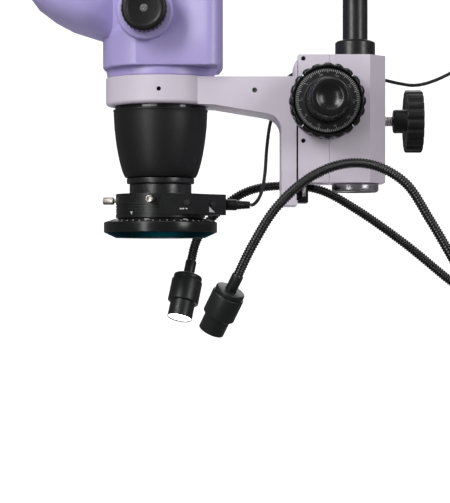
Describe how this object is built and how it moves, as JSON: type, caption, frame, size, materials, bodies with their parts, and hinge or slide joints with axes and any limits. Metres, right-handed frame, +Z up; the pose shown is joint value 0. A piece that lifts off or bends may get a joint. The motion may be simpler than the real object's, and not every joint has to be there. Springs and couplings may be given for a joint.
{
  "type": "stereo microscope",
  "caption": "Stereo microscope on a column stand, with a boom, a focus mount, a zoom head with eyepieces, a ring light with a polariser, and gooseneck lamps.",
  "frame": {"origin": "centre of the base mat's underside, on the column's axis", "axes": "+Z up along the column; the boom runs towards -X, where the user sits; -Y is the side of the front lamp"},
  "size_m": [0.6635, 0.28, 0.505],
  "materials": {
    "lilac_paint": "satin",
    "plate_paint": "satin",
    "purple_paint": "satin",
    "column_steel": "polished",
    "bright_steel": "satin",
    "ring_alloy": "satin",
    "nickel": "gloss",
    "brass_rack": "satin",
    "post_black": "satin",
    "rail_black": "satin",
    "screw_black": "satin",
    "collar_black": "satin",
    "nose_black": "matte",
    "light_black": "satin",
    "lamp_black": "satin",
    "gooseneck_black": "gloss",
    "cell_black": "matte",
    "knob_black": "satin",
    "knob_gloss": "gloss",
    "case_black": "matte",
    "button_grey": "matte",
    "cord_black": "satin",
    "mat_rubber": "matte",
    "cup_rubber": "matte",
    "led_white": "matte",
    "lamp_lens": "gloss",
    "lens_glass": "gloss",
    "polariser_film": "gloss"
  },
  "bodies": {
    "stand": {"base_mat": "mat_rubber", "base_plate": "plate_paint", "column": "column_steel", "safety_collar": "collar_black", "lamp_unit_case": "case_black", "gooseneck_front": "gooseneck_black", "gooseneck_rear": "gooseneck_black", "lamp_head_front": "lamp_black", "lamp_head_rear": "lamp_black", "lamp_lenses": "lamp_lens", "lead_column": "cord_black"},
    "dimmer": {"dimmer_knob": "knob_black"},
    "boom": {"boom_carrier": "lilac_paint", "boom_bar": "column_steel", "boom_head": "lilac_paint", "post": "post_black", "retaining_ring": "ring_alloy"},
    "carrier_clamp": {"carrier_knob": "knob_black"},
    "boom_head_clamp": {"boom_head_knob": "knob_black"},
    "focus_mount": {"clamp_block": "lilac_paint", "focus_housing": "lilac_paint", "housing_screws": "screw_black", "lead_middle": "cord_black", "lead_boom": "cord_black"},
    "block_clamp": {"clamp_knob": "knob_black", "clamp_stud": "bright_steel"},
    "coarse_drive": {"pinion_shaft": "bright_steel", "coarse_knobs": "knob_gloss"},
    "fine_drive": {"fine_shaft": "bright_steel", "fine_knobs": "knob_gloss"},
    "carriage": {"carriage_arm": "lilac_paint", "dovetail_rail": "rail_black", "rack": "brass_rack", "carriage_screws": "screw_black", "lead_head": "cord_black"},
    "head": {"head_body": "purple_paint", "nose_skirt": "nose_black", "objective_lens": "lens_glass", "aux_lens_barrel": "nose_black", "aux_lens": "lens_glass", "binocular_body": "purple_paint", "ring_light_housing": "light_black", "led_board": "led_white", "light_screws": "nickel", "light_plug": "cord_black"},
    "zoom_drive": {"zoom_shaft": "bright_steel", "zoom_knobs": "knob_black"},
    "zoom_upper": {"zoom_lens_upper": "cell_black"},
    "zoom_lower": {"zoom_lens_lower": "cell_black"},
    "pupil_left": {"prism_housing_left": "purple_paint", "eyepiece_left": "nose_black", "eyecup_left": "cup_rubber"},
    "pupil_right": {"prism_housing_right": "purple_paint", "eyepiece_right": "nose_black", "eyecup_right": "cup_rubber"},
    "diopter": {"diopter_ring": "nose_black"},
    "level_button": {"light_button_level": "button_grey"},
    "mode_button": {"light_button_mode": "button_grey"},
    "polariser": {"polariser_ring": "light_black", "polariser_glass": "polariser_film"}
  },
  "joints": [
    {"name": "boom_lift", "type": "slide", "parent": "stand", "child": "boom", "axis": [0, 0, 1], "range_m": [0, 0.06]},
    {"name": "carrier_knob_turn", "type": "hinge", "parent": "boom", "child": "carrier_clamp", "pos_m": [0.045, 0, 0.4], "axis": [1, 0, 0], "range_deg": [0, 360]},
    {"name": "boom_head_knob_turn", "type": "hinge", "parent": "boom", "child": "boom_head_clamp", "pos_m": [-0.2243, -0.045, 0.4], "axis": [0, -1, 0], "range_deg": [0, 360]},
    {"name": "dimmer_turn", "type": "hinge", "parent": "stand", "child": "dimmer", "pos_m": [-0.062, -0.055, 0.048], "axis": [0, -1, 0], "range_deg": [0, 270]},
    {"name": "post_swivel", "type": "hinge", "parent": "boom", "child": "focus_mount", "pos_m": [-0.2243, 0, 0.26], "axis": [0, 0, 1], "range_deg": [-7, 12]},
    {"name": "clamp_knob_turn", "type": "hinge", "parent": "focus_mount", "child": "block_clamp", "pos_m": [-0.19, 0, 0.2518], "axis": [1, 0, 0], "range_deg": [0, 360]},
    {"name": "focus_slide", "type": "slide", "parent": "focus_mount", "child": "carriage", "axis": [0, 0, 1], "range_m": [-0.02, 0.03]},
    {"name": "coarse_turn", "type": "hinge", "parent": "focus_mount", "child": "coarse_drive", "pos_m": [-0.249, 0, 0.264], "axis": [0, 1, 0], "range_deg": [-166, 248]},
    {"name": "fine_turn", "type": "hinge", "parent": "coarse_drive", "child": "fine_drive", "pos_m": [-0.249, 0, 0.264], "axis": [0, 1, 0], "continuous": true},
    {"name": "head_turn", "type": "hinge", "parent": "carriage", "child": "head", "pos_m": [-0.38, 0, 0.2745], "axis": [0, 0, 1], "range_deg": [-20, 45]},
    {"name": "zoom_upper_slide", "type": "slide", "parent": "head", "child": "zoom_upper", "axis": [0, 0, 1], "range_m": [-0.0026, 0.0131]},
    {"name": "zoom_turn", "type": "hinge", "parent": "head", "child": "zoom_drive", "pos_m": [-0.3905, 0, 0.334], "axis": [0, 1, 0], "range_deg": [-30.5, 151]},
    {"name": "zoom_lower_slide", "type": "slide", "parent": "head", "child": "zoom_lower", "axis": [0, 0, 1], "range_m": [-0.0132, 0.0027]},
    {"name": "pupil_left_turn", "type": "hinge", "parent": "head", "child": "pupil_left", "pos_m": [-0.4575, 0.031, 0.3675], "axis": [-0.7071, 0, 0.7071], "range_deg": [-25, 25]},
    {"name": "pupil_right_turn", "type": "hinge", "parent": "head", "child": "pupil_right", "pos_m": [-0.4575, -0.031, 0.3675], "axis": [-0.7071, 0, 0.7071], "range_deg": [-25, 25]},
    {"name": "diopter_turn", "type": "hinge", "parent": "pupil_left", "child": "diopter", "pos_m": [-0.44901, 0.031, 0.37599], "axis": [-0.7071, 0, 0.7071], "range_deg": [-140, 140]},
    {"name": "level_button_press", "type": "slide", "parent": "head", "child": "level_button", "axis": [0, 1, 0], "range_m": [0, 0.0008], "stiffness_N_per_m": 400},
    {"name": "mode_button_press", "type": "slide", "parent": "head", "child": "mode_button", "axis": [-0.7191, 0.6949, 0], "range_m": [0, 0.0008], "stiffness_N_per_m": 400},
    {"name": "polariser_turn", "type": "hinge", "parent": "head", "child": "polariser", "pos_m": [-0.38, 0, 0.166], "axis": [0, 0, 1], "continuous": true}
  ],
  "couplings": [
    {"joint": "coarse_turn", "follows": "focus_slide", "rad_per_m": 142.86},
    {"joint": "zoom_turn", "follows": "zoom_upper_slide", "rad_per_m": 200},
    {"joint": "zoom_lower_slide", "follows": "zoom_upper_slide", "ratio": -1},
    {"joint": "pupil_right_turn", "follows": "pupil_left_turn", "ratio": -1}
  ]
}
